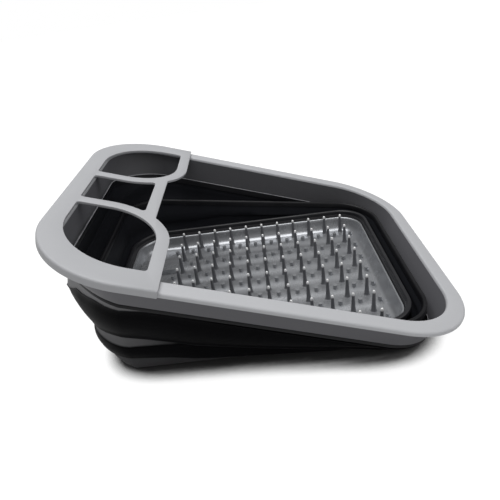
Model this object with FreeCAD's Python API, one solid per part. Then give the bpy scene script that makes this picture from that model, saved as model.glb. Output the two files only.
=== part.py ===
"""Foldable dish rack, half folded: the left end stands up and the right end is pressed down.

Frame: millimetres, +Z up, X along the rack (raised end at -X), +Y to the rear.
The origin is on the table, under the middle of the rack's whole length. The sizes below are
measured from the middle of the base, and the finished pieces are moved by rack_middle_x().
A stack of rounded rectangles makes the rack. Each one lies an inset inside the outline of the
rim or of the base, in a plane that tilts with the rim, the middle hoop or a fold.
"""
import FreeCAD, Part
import math
import os

# Outline of the rim, seen square to it
RIM_HALF_X = 185.0
RIM_HALF_Y = 155.0
RIM_CORNER_R = 75.0

# Heights of the left and right ends of the rim and the middle hoop, half folded
RIM_LEFT_Z = 150.2
RIM_RIGHT_Z = 30.4
RIM_CENTRE_X = 15.2
HOOP_LEFT_Z = 79.2
HOOP_RIGHT_Z = 31.5
HOOP_CENTRE_X = 6.5

# Rim: a flat flange with a turned-down lip, and a skirt that hangs from its inner edge
FLANGE_WIDTH = 16.0
FLANGE_THICK = 2.8
FLANGE_EDGE_R = 2.0
LIP_DROP = 3.7
LIP_THICK = 2.2
SKIRT_DEPTH = 29.0
SKIRT_THICK = 2.2
SKIRT_TAPER = 4.7
COLLAR_DEPTH = 4.0
COLLAR_WIDTH = 3.5
COLLAR_INSET = 19.5

# Folding walls: soft rolling skins, each with a low turn between its two panels
WALL_THICK = 1.4
TURN_HEIGHT = 1.6
SEAT_GAP = 0.3
UPPER_TURN_INSET = 28.5
UPPER_TURN_LEFT_Z = 65.0
UPPER_TURN_RIGHT_Z = 4.0
UPPER_TURN_CENTRE_X = 3.5
LOWER_TURN_INSET = 36.5
LOWER_TURN_LEFT_Z = 25.5
LOWER_TURN_RIGHT_Z = 5.0
LOWER_TURN_CENTRE_X = 0.2
LOWER_PANEL_TOP_INSET = 2.0
LOWER_PANEL_INSET = 0.4

# Middle hoop, the stiff ridge between the two folding walls
HOOP_INSET = 30.0
HOOP_WIDTH = 4.5
HOOP_HEIGHT = 6.0

# Base: its top ridge inside the rim, with walls that draw in towards the table
BASE_HALF_X = RIM_HALF_X - 39.5
BASE_HALF_Y = RIM_HALF_Y - 40.0
BASE_CORNER_R = 34.0
BASE_TOP_Z = 32.0
RIDGE_HEIGHT = 5.0
RIDGE_WIDTH = 4.5
BASE_WALL_THICK = 2.5
BASE_WALL_INSET = 3.2
BASE_SHOULDER_Z = 16.0
BASE_SHOULDER_INSET = 4.5
BASE_FOOT_INSET = 11.0
BASE_LEDGE_WIDTH = 14.0
LEDGE_THICK = 2.0

# Feet under the corners of the ledge
FOOT_RADIUS = 6.0
FOOT_HEIGHT = 2.0
FOOT_INSET_X = 8.0
FOOT_Y = BASE_HALF_Y - 53.0

# Drain pan, and the ribs that carry the peg plate
PAN_THICK = 2.0
PAN_EDGE_GAP = 0.4
RIB_WIDTH = 3.0
RIB_LENGTH = 2 * (BASE_HALF_X - 35.5)
RIB_ROWS = (-2.5, -0.5, 0.5, 2.5)

# Peg plate: a shallow tray
PLATE_TOP_Z = 10.0
PLATE_THICK = 2.0
PLATE_EDGE_Z = 24.5
PLATE_EDGE_GAP = 1.6
PLATE_COVE = 8.0
PLATE_SKIN = 2.0
FLOOR_INSET = RIDGE_WIDTH + PLATE_EDGE_GAP + PLATE_COVE + PLATE_SKIN
FLOOR_HALF_X = BASE_HALF_X - FLOOR_INSET
FLOOR_HALF_Y = BASE_HALF_Y - FLOOR_INSET

# Pegs on an even grid, with a drain hole in the middle of each field and beside the end columns
PEG_COLUMNS = 11
PEG_ROWS = 8
GRID_LEFT_MARGIN = 38.05
GRID_RIGHT_MARGIN = 4.05
GRID_SIDE_MARGIN = 2.3
PITCH_X = (2 * FLOOR_HALF_X - GRID_LEFT_MARGIN - GRID_RIGHT_MARGIN) / PEG_COLUMNS
PITCH_Y = 2 * (FLOOR_HALF_Y - GRID_SIDE_MARGIN) / (PEG_ROWS - 1)
GRID_CENTRE_X = 0.5 * (GRID_LEFT_MARGIN - GRID_RIGHT_MARGIN)
PEG_HEIGHT = 24.0
PEG_BASE_R = 2.6
PEG_TIP_R = 1.2
HOLE_R = 2.2

# Window in the plate over the drain, and the plug in the pan below it
WINDOW_CENTRE_X = -FLOOR_HALF_X + 21.9
WINDOW_LENGTH = 41.0
WINDOW_WIDTH = 27.0
WINDOW_CORNER_R = 4.0
DRAIN_R = 11.0
PLUG_GAP = 0.3
PLUG_FLANGE_R = 12.4
PLUG_FLANGE_THICK = 1.2
PLUG_DEPTH = 4.4
PLUG_GRIP_LENGTH = 12.0
PLUG_GRIP_THICK = 2.6
PLUG_GRIP_HEIGHT = 6.0

# Utensil frame, which hooks over the raised end of the rim
FRAME_THICK = 2.4
FRAME_OVERHANG = 1.4
FRAME_LIP_DROP = 4.2
FRAME_EDGE_R = 2.0
FRAME_BAY_R = 3.0
FRAME_LEFT_S = -RIM_HALF_X + 15.5
FRAME_ARC_S = FRAME_LEFT_S + 28.5
FRAME_WAIST_S = FRAME_LEFT_S + 71.5
FRAME_RIGHT_S = FRAME_LEFT_S + 88.5
FRAME_SIDE_T = RIM_HALF_Y - 22.0
FRAME_ARC_T = FRAME_SIDE_T - 46.0
FRAME_ARC_R = 49.0
FRAME_BAR = 11.0
FRAME_CORNER_R = 64.0
FRAME_CLIP_LENGTH = 11.0
FRAME_CLIP_THICK = 1.6
FRAME_CLIP_DROP = 9.0
FRAME_CLIP_INSET = 17.3
FRAME_GAP = 0.3

X_AXIS = FreeCAD.Vector(1, 0, 0)
Y_AXIS = FreeCAD.Vector(0, 1, 0)
Z_AXIS = FreeCAD.Vector(0, 0, 1)


def tilted(half_length, left_z, right_z, centre_x):
    """Placement of a plane that leans down to the right, from the heights of its ends."""
    tilt = math.degrees(math.asin((left_z - right_z) / (2 * half_length)))
    centre = FreeCAD.Vector(centre_x, 0, 0.5 * (left_z + right_z))
    return FreeCAD.Placement(centre, FreeCAD.Rotation(Y_AXIS, tilt))


RIM_PLANE = tilted(RIM_HALF_X, RIM_LEFT_Z, RIM_RIGHT_Z, RIM_CENTRE_X)
HOOP_PLANE = tilted(RIM_HALF_X - HOOP_INSET, HOOP_LEFT_Z, HOOP_RIGHT_Z, HOOP_CENTRE_X)
UPPER_TURN = tilted(
    RIM_HALF_X - UPPER_TURN_INSET, UPPER_TURN_LEFT_Z, UPPER_TURN_RIGHT_Z, UPPER_TURN_CENTRE_X
)
LOWER_TURN = tilted(
    RIM_HALF_X - LOWER_TURN_INSET, LOWER_TURN_LEFT_Z, LOWER_TURN_RIGHT_Z, LOWER_TURN_CENTRE_X
)


def rounded_wire(half_x, half_y, corner_r, z=0.0, centre_x=0.0):
    """A rounded rectangle of four lines and four arcs, in a level plane."""
    line_x = half_x - corner_r
    line_y = half_y - corner_r
    edges = []
    for quarter in range(4):
        start = math.radians(90 * quarter)
        sign_x = 1 if quarter in (0, 3) else -1
        sign_y = 1 if quarter in (0, 1) else -1
        middle_x = centre_x + sign_x * line_x
        middle_y = sign_y * line_y
        points = []
        for step in range(3):
            angle = start + step * math.pi / 4
            points.append(
                FreeCAD.Vector(
                    middle_x + corner_r * math.cos(angle),
                    middle_y + corner_r * math.sin(angle),
                    z,
                )
            )
        if edges:
            edges.append(Part.makeLine(edges[-1].Vertexes[-1].Point, points[0]))
        edges.append(Part.Arc(*points).toShape())
    edges.append(Part.makeLine(edges[-1].Vertexes[-1].Point, edges[0].Vertexes[0].Point))
    return Part.Wire(edges)


def inset_wire(inset, z=0.0):
    """The rim's outline, drawn in by an inset."""
    return rounded_wire(
        RIM_HALF_X - inset, RIM_HALF_Y - inset, RIM_CORNER_R - inset, z
    )


def base_wire(inset, z=0.0):
    """The base ridge's outline, drawn in by an inset."""
    return rounded_wire(
        BASE_HALF_X - inset, BASE_HALF_Y - inset, BASE_CORNER_R - 0.6 * inset, z
    )


def slab(wire, height):
    """A wire raised straight up."""
    return Part.Face(wire).extrude(FreeCAD.Vector(0, 0, height))


def loft(*wires):
    """A solid with straight sides between wires that match corner to corner."""
    return Part.makeLoft(list(wires), True, True)


def placed(shape, placement):
    """A copy of a shape, moved from its own plane to its place."""
    copy = shape.copy()
    copy.Placement = placement.multiply(copy.Placement)
    return copy


def box(low_x, low_y, low_z, size_x, size_y, size_z):
    """A box from its lowest corner."""
    return Part.makeBox(size_x, size_y, size_z, FreeCAD.Vector(low_x, low_y, low_z))


def disc(x, y, z, radius, height):
    """An upright round plate."""
    return Part.makeCylinder(radius, height, FreeCAD.Vector(x, y, z), Z_AXIS)


def on_outline(vertex):
    """Whether a corner of an edge lies on the rim's own outline."""
    return abs(vertex.X) > RIM_HALF_X - 1 or abs(vertex.Y) > RIM_HALF_Y - 1


def rim_flange():
    """The flat top band of the rim, with its lip turned down all round."""
    band = slab(inset_wire(0, -LIP_DROP), LIP_DROP)
    hollow = slab(inset_wire(LIP_THICK, -LIP_DROP), LIP_DROP - FLANGE_THICK)
    opening = slab(inset_wire(FLANGE_WIDTH, -FLANGE_THICK), FLANGE_THICK)
    shape = band.cut(hollow).cut(opening)
    top_edges = [
        edge
        for edge in shape.Edges
        if edge.BoundBox.ZMin > -0.5 * FLANGE_THICK and all(map(on_outline, edge.Vertexes))
    ]
    return placed(shape.makeFillet(FLANGE_EDGE_R, top_edges), RIM_PLANE)


def rim_skirt():
    """The deep band that hangs from the flange's inner edge."""
    top = -FLANGE_THICK
    outer = loft(
        inset_wire(FLANGE_WIDTH - SKIRT_THICK, top),
        inset_wire(FLANGE_WIDTH + SKIRT_TAPER - SKIRT_THICK, -SKIRT_DEPTH),
    )
    inner = loft(
        inset_wire(FLANGE_WIDTH, top),
        inset_wire(FLANGE_WIDTH + SKIRT_TAPER, -SKIRT_DEPTH),
    )
    return placed(outer.cut(inner), RIM_PLANE)


def rim_collar():
    """The soft bead under the skirt that the upper wall grows from."""
    low = -SKIRT_DEPTH - COLLAR_DEPTH
    ring = slab(inset_wire(COLLAR_INSET, low), COLLAR_DEPTH).cut(
        slab(inset_wire(COLLAR_INSET + COLLAR_WIDTH, low), COLLAR_DEPTH)
    )
    return placed(ring, RIM_PLANE)


def skin(top_wire, low_wire, top_place, low_place, top_inset, low_inset):
    """One straight panel of a fold, between an upper edge and the fold's low turn."""
    walls = []
    for thick in (0.0, WALL_THICK):
        walls.append(
            loft(
                placed(top_wire(top_inset + thick), top_place),
                placed(low_wire(low_inset + thick), low_place),
            )
        )
    return walls[0].cut(walls[1])


def lowered(plane, depth):
    """The same plane, moved down square to itself."""
    return plane.multiply(FreeCAD.Placement(-depth * Z_AXIS, FreeCAD.Rotation()))


def upper_fold_wall():
    """The tall soft wall between the rim's collar and the middle hoop."""
    under_collar = lowered(RIM_PLANE, SKIRT_DEPTH + COLLAR_DEPTH + SEAT_GAP)
    under_hoop = lowered(HOOP_PLANE, HOOP_HEIGHT + SEAT_GAP)
    outer = skin(
        inset_wire, inset_wire, under_collar, UPPER_TURN, COLLAR_INSET, UPPER_TURN_INSET
    )
    inner = skin(inset_wire, inset_wire, under_hoop, UPPER_TURN, HOOP_INSET, HOOP_INSET)
    turn = slab(inset_wire(UPPER_TURN_INSET, -TURN_HEIGHT), TURN_HEIGHT).cut(
        slab(inset_wire(HOOP_INSET + WALL_THICK, -TURN_HEIGHT), TURN_HEIGHT)
    )
    return placed(turn, UPPER_TURN).fuse([outer, inner])


def lower_fold_wall():
    """The shorter soft wall between the middle hoop and the base ridge."""
    under_hoop = lowered(HOOP_PLANE, HOOP_HEIGHT + SEAT_GAP)
    under_ridge = FreeCAD.Placement(
        (BASE_TOP_Z - RIDGE_HEIGHT - SEAT_GAP) * Z_AXIS, FreeCAD.Rotation()
    )
    outer = skin(
        inset_wire,
        inset_wire,
        under_hoop,
        LOWER_TURN,
        HOOP_INSET + LOWER_PANEL_TOP_INSET,
        LOWER_TURN_INSET,
    )
    inner = skin(
        base_wire, base_wire, under_ridge, LOWER_TURN, LOWER_PANEL_INSET, LOWER_PANEL_INSET
    )
    turn = slab(inset_wire(LOWER_TURN_INSET, -TURN_HEIGHT), TURN_HEIGHT).cut(
        slab(base_wire(LOWER_PANEL_INSET + WALL_THICK, -TURN_HEIGHT), TURN_HEIGHT)
    )
    return placed(turn, LOWER_TURN).fuse([outer, inner])


def middle_hoop():
    """The stiff ridge ring between the folding walls."""
    ring = slab(inset_wire(HOOP_INSET, -HOOP_HEIGHT), HOOP_HEIGHT).cut(
        slab(inset_wire(HOOP_INSET + HOOP_WIDTH, -HOOP_HEIGHT), HOOP_HEIGHT)
    )
    return placed(ring, HOOP_PLANE)


def base_ridge():
    """The ridge ring along the top of the base wall."""
    low = BASE_TOP_Z - RIDGE_HEIGHT
    return slab(base_wire(0, low), RIDGE_HEIGHT).cut(
        slab(base_wire(RIDGE_WIDTH, low), RIDGE_HEIGHT)
    )


def base_wall_levels():
    """Insets and heights of the base wall, from the table to the ridge."""
    return (
        (BASE_FOOT_INSET, FOOT_HEIGHT),
        (BASE_SHOULDER_INSET, BASE_SHOULDER_Z),
        (BASE_WALL_INSET, BASE_TOP_Z - RIDGE_HEIGHT),
    )


def base_wall():
    """The lowest wall, which draws in to a ledge that carries the pan."""
    outer = loft(*[base_wire(inset, z) for inset, z in base_wall_levels()])
    inner = loft(
        *[base_wire(inset + BASE_WALL_THICK, z) for inset, z in base_wall_levels()]
    )
    ledge = slab(base_wire(BASE_FOOT_INSET, FOOT_HEIGHT), LEDGE_THICK)
    ledge = ledge.cut(
        slab(base_wire(BASE_FOOT_INSET + BASE_LEDGE_WIDTH, FOOT_HEIGHT), LEDGE_THICK)
    )
    return outer.cut(inner).fuse([ledge])


def foot(sign_x, sign_y):
    """One round pad under the ledge."""
    x = sign_x * (BASE_HALF_X - BASE_FOOT_INSET - FOOT_INSET_X)
    return disc(x, sign_y * FOOT_Y, 0, FOOT_RADIUS, FOOT_HEIGHT)


def window_centre():
    """Middle of the plate's drain window, in line with a row of holes."""
    return FreeCAD.Vector(WINDOW_CENTRE_X, 2 * PITCH_Y, 0)


def drain_pan():
    """The flat floor under the plate, with the drain hole and three ribs."""
    low = FOOT_HEIGHT + LEDGE_THICK
    inset = BASE_FOOT_INSET + BASE_WALL_THICK + PAN_EDGE_GAP
    pan = slab(base_wire(inset, low), PAN_THICK)
    rib_low = low + PAN_THICK
    rib_height = PLATE_TOP_Z - PLATE_THICK - rib_low
    ribs = [
        box(
            -0.5 * RIB_LENGTH,
            row * PITCH_Y - 0.5 * RIB_WIDTH,
            rib_low,
            RIB_LENGTH,
            RIB_WIDTH,
            rib_height,
        )
        for row in RIB_ROWS
    ]
    drain = window_centre()
    well = disc(drain.x, drain.y, low, DRAIN_R, PAN_THICK + rib_height)
    clearing = disc(drain.x, drain.y, rib_low, PLUG_FLANGE_R + 2, rib_height)
    return pan.fuse(ribs).cut(clearing).cut(well)


def drain_plug():
    """A push-in plug with a grip that is pinched from above."""
    drain = window_centre()
    seat = FOOT_HEIGHT + LEDGE_THICK + PAN_THICK
    stem = disc(drain.x, drain.y, seat - PLUG_DEPTH, DRAIN_R - PLUG_GAP, PLUG_DEPTH)
    flange = disc(drain.x, drain.y, seat, PLUG_FLANGE_R, PLUG_FLANGE_THICK)
    grip = box(
        drain.x - 0.5 * PLUG_GRIP_LENGTH,
        drain.y - 0.5 * PLUG_GRIP_THICK,
        seat + PLUG_FLANGE_THICK,
        PLUG_GRIP_LENGTH,
        PLUG_GRIP_THICK,
        PLUG_GRIP_HEIGHT,
    )
    return stem.fuse([flange, grip])


def peg_plate_tray():
    """The plate's floor and its coved edge, one skin."""
    edge = RIDGE_WIDTH + PLATE_EDGE_GAP
    levels = (
        (edge + PLATE_COVE, PLATE_TOP_Z - PLATE_THICK),
        (edge + 0.35 * PLATE_COVE, PLATE_TOP_Z + 0.3 * (PLATE_EDGE_Z - PLATE_TOP_Z)),
        (edge, PLATE_EDGE_Z),
    )
    outer = loft(*[base_wire(inset, z) for inset, z in levels])
    inner_levels = (
        (edge + PLATE_COVE + PLATE_SKIN, PLATE_TOP_Z),
        (levels[1][0] + PLATE_SKIN, levels[1][1] + 0.5 * PLATE_THICK),
        (edge + PLATE_SKIN, PLATE_EDGE_Z),
    )
    inner = loft(*[base_wire(inset, z) for inset, z in inner_levels])
    return outer.cut(inner)


def peg(x, y):
    """One tapered peg with a round tip, up from the plate's floor."""
    height = PEG_HEIGHT - PEG_TIP_R
    cone = Part.makeCone(
        PEG_BASE_R, PEG_TIP_R, height, FreeCAD.Vector(x, y, PLATE_TOP_Z), Z_AXIS
    )
    tip = Part.makeSphere(PEG_TIP_R, FreeCAD.Vector(x, y, PLATE_TOP_Z + height))
    return cone.fuse([tip])


def grid(columns, rows):
    """Centres of a grid of columns and rows, spaced by the two pitches."""
    for row in range(rows):
        for column in range(columns):
            x = GRID_CENTRE_X + (column - (columns - 1) / 2) * PITCH_X
            y = (row - (rows - 1) / 2) * PITCH_Y
            yield x, y


def peg_plate():
    """The tray with its drain holes and its window."""
    centre = window_centre()
    window = slab(
        rounded_wire(0.5 * WINDOW_LENGTH, 0.5 * WINDOW_WIDTH, WINDOW_CORNER_R), 4 * PLATE_THICK
    )
    window.translate(FreeCAD.Vector(centre.x, centre.y, PLATE_TOP_Z - 2 * PLATE_THICK))
    holes = [window]
    for x, y in grid(PEG_COLUMNS + 1, PEG_ROWS - 1):
        near_x = abs(x - centre.x) < 0.5 * WINDOW_LENGTH + HOLE_R
        near_y = abs(y - centre.y) < 0.5 * WINDOW_WIDTH + HOLE_R
        if not (near_x and near_y):
            holes.append(disc(x, y, PLATE_TOP_Z - 2 * PLATE_THICK, HOLE_R, 4 * PLATE_THICK))
    return peg_plate_tray().cut(holes)


def plate_pegs():
    """All the pegs, each its own solid on the plate's floor."""
    tray = peg_plate_tray()
    return Part.Compound([peg(x, y).cut(tray) for x, y in grid(PEG_COLUMNS, PEG_ROWS)])


def utensil_outline(z, height):
    """The frame seen square to the rim: one rounded end, two loops and a waist."""
    outer = rounded_wire(
        RIM_HALF_X + FRAME_OVERHANG,
        RIM_HALF_Y + FRAME_OVERHANG,
        RIM_CORNER_R + FRAME_OVERHANG,
        z,
    )
    keep = box(
        -RIM_HALF_X - FRAME_BAR,
        -RIM_HALF_Y - FRAME_BAR,
        z,
        RIM_HALF_X + FRAME_BAR + FRAME_RIGHT_S,
        2 * (RIM_HALF_Y + FRAME_BAR),
        height,
    )
    return slab(outer, height).common(keep)


def bar_discs(radius, z, height):
    """The two round guides that the frame's bars bend along."""
    return [
        disc(FRAME_ARC_S, sign * FRAME_ARC_T, z, radius, height) for sign in (-1, 1)
    ]


def is_sharp(shape, edge):
    """Whether an upright edge is a corner, and not the seam of a smooth side."""
    point = edge.valueAt(0.5 * (edge.FirstParameter + edge.LastParameter))
    normals = []
    for face in shape.ancestorsOfType(edge, Part.Face):
        normals.append(face.normalAt(*face.Surface.parameter(point)))
    return len(normals) == 2 and normals[0].getAngle(normals[1]) > math.radians(20)


def eased(shape, height):
    """A cutting slab with its upright corners rounded."""
    shape = shape.removeSplitter()
    corners = [
        edge
        for edge in shape.Edges
        if abs(edge.BoundBox.ZLength - height) < 0.01 and is_sharp(shape, edge)
    ]
    return shape.makeFillet(FRAME_BAY_R, corners)


def utensil_cuts(z, height):
    """The two side openings, the middle opening and the waist, cut from the frame."""
    outer_r = FRAME_ARC_R + FRAME_BAR
    middle_t = FRAME_ARC_T - outer_r
    waist = box(FRAME_WAIST_S, -FRAME_ARC_T, z, FRAME_BAR + 10, 2 * FRAME_ARC_T, height)
    waist = waist.cut(bar_discs(outer_r, z, height))
    right_s = FRAME_WAIST_S - FRAME_BAR
    bay = box(FRAME_ARC_S, -FRAME_ARC_T, z, right_s - FRAME_ARC_S, 2 * FRAME_ARC_T, height)
    bay = bay.cut(bar_discs(outer_r, z, height))
    entry = box(
        FRAME_LEFT_S, -middle_t, z, FRAME_ARC_S - FRAME_LEFT_S, 2 * middle_t, height
    )
    cuts = [waist, eased(bay.fuse([entry]), height)]
    corner = slab(
        rounded_wire(-FRAME_LEFT_S, FRAME_SIDE_T, FRAME_CORNER_R, z), height
    )
    side_right = FRAME_RIGHT_S - FRAME_BAR
    for sign in (-1, 1):
        inner_t = FRAME_ARC_T - FRAME_ARC_R
        low_t = inner_t if sign > 0 else -FRAME_SIDE_T
        left = box(
            FRAME_LEFT_S,
            low_t,
            z,
            FRAME_ARC_S - FRAME_LEFT_S,
            FRAME_SIDE_T - inner_t,
            height,
        )
        far_t = FRAME_ARC_T if sign > 0 else -FRAME_SIDE_T
        right = box(
            FRAME_ARC_S,
            far_t,
            z,
            side_right - FRAME_ARC_S,
            FRAME_SIDE_T - FRAME_ARC_T,
            height,
        )
        round_part = disc(FRAME_ARC_S, sign * FRAME_ARC_T, z, FRAME_ARC_R, height)
        cuts.append(eased(left.fuse([right, round_part]).common(corner), height))
    return cuts


def utensil_frame():
    """The utensil frame: a flat plate of bars, a hooked lip and two spring clips."""
    lift = FRAME_GAP
    plate = utensil_outline(lift, FRAME_THICK).cut(utensil_cuts(lift, FRAME_THICK))
    lip_low = lift - FRAME_LIP_DROP
    lip = utensil_outline(lip_low, FRAME_LIP_DROP)
    lip = lip.cut(slab(inset_wire(-FRAME_GAP, lip_low), FRAME_LIP_DROP))
    clips = []
    clip_t = RIM_HALF_Y - FRAME_CLIP_INSET - FRAME_CLIP_THICK
    for sign in (-1, 1):
        low_t = clip_t if sign > 0 else -clip_t - FRAME_CLIP_THICK
        clips.append(
            box(
                FRAME_RIGHT_S - FRAME_CLIP_LENGTH,
                low_t,
                lift - FRAME_CLIP_DROP,
                FRAME_CLIP_LENGTH,
                FRAME_CLIP_THICK,
                FRAME_CLIP_DROP,
            )
        )
    shape = plate.fuse([lip] + clips).removeSplitter()
    top_edges = [
        edge
        for edge in shape.Edges
        if edge.BoundBox.ZMin > lift + FRAME_THICK - 0.01 and all(map(on_outline, edge.Vertexes))
    ]
    return placed(shape.makeFillet(FRAME_EDGE_R, top_edges), RIM_PLANE)


def rack_middle_x():
    """Middle of the rack's overall length, between the frame's lip and the rim's low end."""
    tilt = RIM_PLANE.Rotation.Angle
    left = (RIM_HALF_X + FRAME_OVERHANG) * math.cos(tilt)
    left += (FRAME_LIP_DROP - FRAME_GAP) * math.sin(tilt)
    right = (RIM_HALF_X - FLANGE_EDGE_R) * math.cos(tilt)
    right += FLANGE_EDGE_R * (1 - math.sin(tilt))
    return RIM_CENTRE_X + 0.5 * (right - left)


def nodes():
    """Every separate piece by name."""
    pieces = {
        "rim_flange": rim_flange(),
        "rim_skirt": rim_skirt(),
        "rim_collar": rim_collar(),
        "upper_fold_wall": upper_fold_wall(),
        "middle_hoop": middle_hoop(),
        "lower_fold_wall": lower_fold_wall(),
        "base_ridge": base_ridge(),
        "base_wall": base_wall(),
        "drain_pan": drain_pan(),
        "drain_plug": drain_plug(),
        "peg_plate": peg_plate(),
        "plate_pegs": plate_pegs(),
        "utensil_frame": utensil_frame(),
    }
    for name_x, sign_x in (("left", -1), ("right", 1)):
        for name_y, sign_y in (("front", -1), ("rear", 1)):
            pieces["foot_%s_%s" % (name_y, name_x)] = foot(sign_x, sign_y)
    return pieces


middle_x = rack_middle_x()
os.makedirs("parts", exist_ok=True)
for name, shape in nodes().items():
    if not shape.isValid():
        raise ValueError(name + " is not a valid shape")
    shape.translate(-middle_x * X_AXIS)
    shape.exportStep("parts/" + name + ".step")
    print("%-18s solids %d volume %.0f mm3" % (name, len(shape.Solids), shape.Volume))
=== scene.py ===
"""Foldable dish rack, half folded, with soft folding walls and a peg plate.

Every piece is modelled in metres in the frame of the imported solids: the origin is on the table
under the middle of the rack, +X runs towards the low end, +Y to the rear and +Z up. Profiles,
tables and plain sizes are in millimetres, and MM turns them into metres.
"""

import logging
import math
from dataclasses import dataclass, field
from enum import Enum
from typing import Any, Callable, Dict, List, Optional, Sequence, Tuple, Union

import bpy
from mathutils import Matrix, Vector

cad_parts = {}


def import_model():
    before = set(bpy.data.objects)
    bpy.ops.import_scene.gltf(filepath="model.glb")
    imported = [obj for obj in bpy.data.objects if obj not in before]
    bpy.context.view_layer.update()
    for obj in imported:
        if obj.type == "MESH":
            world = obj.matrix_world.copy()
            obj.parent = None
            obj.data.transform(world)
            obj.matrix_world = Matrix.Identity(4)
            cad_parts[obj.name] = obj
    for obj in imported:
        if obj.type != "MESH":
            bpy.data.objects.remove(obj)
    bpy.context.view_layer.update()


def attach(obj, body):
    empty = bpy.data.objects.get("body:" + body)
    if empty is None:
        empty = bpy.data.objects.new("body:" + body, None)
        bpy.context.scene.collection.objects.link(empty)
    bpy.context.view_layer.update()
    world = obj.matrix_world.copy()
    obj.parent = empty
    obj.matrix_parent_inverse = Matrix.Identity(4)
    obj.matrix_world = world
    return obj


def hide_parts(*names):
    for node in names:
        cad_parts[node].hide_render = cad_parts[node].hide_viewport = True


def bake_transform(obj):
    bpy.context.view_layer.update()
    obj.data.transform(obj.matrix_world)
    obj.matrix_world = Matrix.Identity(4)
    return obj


log = logging.getLogger("dish_rack")

MM = 0.001
BASE_SHIFT = -13.64 * MM
CORNER_STEPS = 14
LONG_SIDE_STEPS = 12
SHORT_SIDE_STEPS = 10
WELD_REACH = 0.01 * MM
WALL_WELD_REACH = 0.002 * MM
TRACE_WELD_REACH = 0.02 * MM
SOFTENED_ANGLE = 38.0
FLAT_ANGLE = 1.0

Piece = bpy.types.Object
Material = bpy.types.Material
Socket = bpy.types.NodeSocket
Point = Tuple[float, float, float]
Pair = Tuple[float, float]
Profile = Sequence[Pair]
Level = Tuple[float, float, float]
Tint = Tuple[float, float, float, float]
Number = Union[float, "Signal"]

BLACK: Tint = (0, 0, 0, 1)
WHITE: Tint = (1, 1, 1, 1)


class Bodies(Enum):
    """The rigid groups that pieces ride on."""

    BASE = "base"
    LOWER_FOLD = "lower_fold"
    MIDDLE = "middle"
    UPPER_FOLD = "upper_fold"
    RIM = "rim"
    UTENSIL = "utensil"
    PLUG = "plug"


class Keep(Enum):
    """What a cut leaves of a piece."""

    INSIDE = "INTERSECT"
    OUTSIDE = "DIFFERENCE"


class Signal:
    """A shader socket that takes part in Python expressions."""

    def __init__(self, sheet: "Sheet", socket: Socket) -> None:
        """Keeps the socket and the sheet that its next nodes go on."""
        self.sheet = sheet
        self.socket = socket

    def _join(self, operation: str, first: Number, second: Number) -> "Signal":
        """Adds one Math node and returns its output."""
        node = self.sheet.node("ShaderNodeMath", {"operation": operation}, {0: first, 1: second})
        return Signal(self.sheet, node.outputs[0])

    def __add__(self, other: Number) -> "Signal":
        """Sum."""
        return self._join("ADD", self, other)

    __radd__ = __add__

    def __sub__(self, other: Number) -> "Signal":
        """Difference."""
        return self._join("SUBTRACT", self, other)

    def __rsub__(self, other: Number) -> "Signal":
        """Reflected difference."""
        return self._join("SUBTRACT", other, self)

    def __mul__(self, other: Number) -> "Signal":
        """Product."""
        return self._join("MULTIPLY", self, other)

    __rmul__ = __mul__

    def __truediv__(self, other: Number) -> "Signal":
        """Quotient."""
        return self._join("DIVIDE", self, other)

    def clipped(self) -> "Signal":
        """The value held between 0 and 1."""
        low = self._join("MAXIMUM", self, 0.0)
        return low._join("MINIMUM", low, 1.0)


@dataclass(frozen=True)
class Cloud:
    """A cloudy pattern: turns per metre, finer octaves and how strong these are."""

    scale: float
    detail: float
    rough: float


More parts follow.
